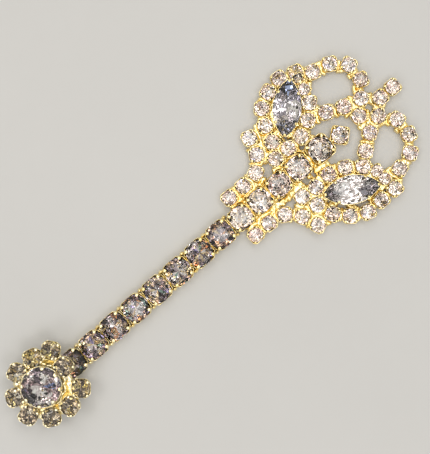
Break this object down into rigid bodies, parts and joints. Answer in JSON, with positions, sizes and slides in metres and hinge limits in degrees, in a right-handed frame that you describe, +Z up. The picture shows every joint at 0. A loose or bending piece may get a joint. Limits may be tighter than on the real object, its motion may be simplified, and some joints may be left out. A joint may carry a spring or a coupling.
{
  "type": "costume jewellery sceptre",
  "caption": "Long flat-backed ornament sceptre: flower knob, straight stone-set shaft and an open heart-shaped head topped by a cross, clear faceted stones in gold claw settings.",
  "frame": {"origin": "on the plane of the flat backs, under the middle of the whole outline", "axes": "+X along the shaft towards the cross at the head, +Y across to the left wing, +Z up out of the stones' faces"},
  "size_m": [0.1278, 0.0446, 0.0096],
  "materials": {
    "gold_metal": "bright gold plate over stamped brass settings and solder",
    "clear_stone": "clear faceted glass stones with a mirror-foiled back"
  },
  "bodies": {
    "root": {"knob_setting": "gold_metal", "knob_stone": "clear_stone", "petal_settings": "gold_metal", "petal_stone_1": "clear_stone", "petal_stone_2": "clear_stone", "petal_stone_3": "clear_stone", "petal_stone_4": "clear_stone", "petal_stone_5": "clear_stone", "petal_stone_6": "clear_stone", "petal_stone_7": "clear_stone", "petal_stone_8": "clear_stone", "petal_stone_9": "clear_stone", "shaft_settings": "gold_metal", "shaft_stone_1": "clear_stone", "shaft_stone_2": "clear_stone", "shaft_stone_3": "clear_stone", "shaft_stone_4": "clear_stone", "shaft_stone_5": "clear_stone", "shaft_stone_6": "clear_stone", "shaft_stone_7": "clear_stone", "shaft_stone_8": "clear_stone", "column_settings": "gold_metal", "column_stone_1": "clear_stone", "column_stone_2": "clear_stone", "column_stone_3": "clear_stone", "column_stone_4": "clear_stone", "column_stone_5": "clear_stone", "column_stone_6": "clear_stone", "left_navette_ring": "gold_metal", "left_navette_setting": "gold_metal", "left_navette_stone": "clear_stone", "left_shoulder_chain": "gold_metal", "left_loop_settings": "gold_metal", "left_loop_stone_1": "clear_stone", "left_loop_stone_2": "clear_stone", "left_loop_stone_3": "clear_stone", "left_loop_stone_4": "clear_stone", "left_loop_stone_5": "clear_stone", "left_loop_stone_6": "clear_stone", "left_loop_stone_7": "clear_stone", "right_navette_ring": "gold_metal", "right_navette_setting": "gold_metal", "right_navette_stone": "clear_stone", "right_shoulder_chain": "gold_metal", "right_loop_settings": "gold_metal", "right_loop_stone_1": "clear_stone", "right_loop_stone_2": "clear_stone", "right_loop_stone_3": "clear_stone", "right_loop_stone_4": "clear_stone", "right_loop_stone_5": "clear_stone", "right_loop_stone_6": "clear_stone", "right_loop_stone_7": "clear_stone", "cross_settings": "gold_metal", "cross_stone_1": "clear_stone", "cross_stone_2": "clear_stone", "cross_stone_3": "clear_stone"}
  },
  "joints": []
}
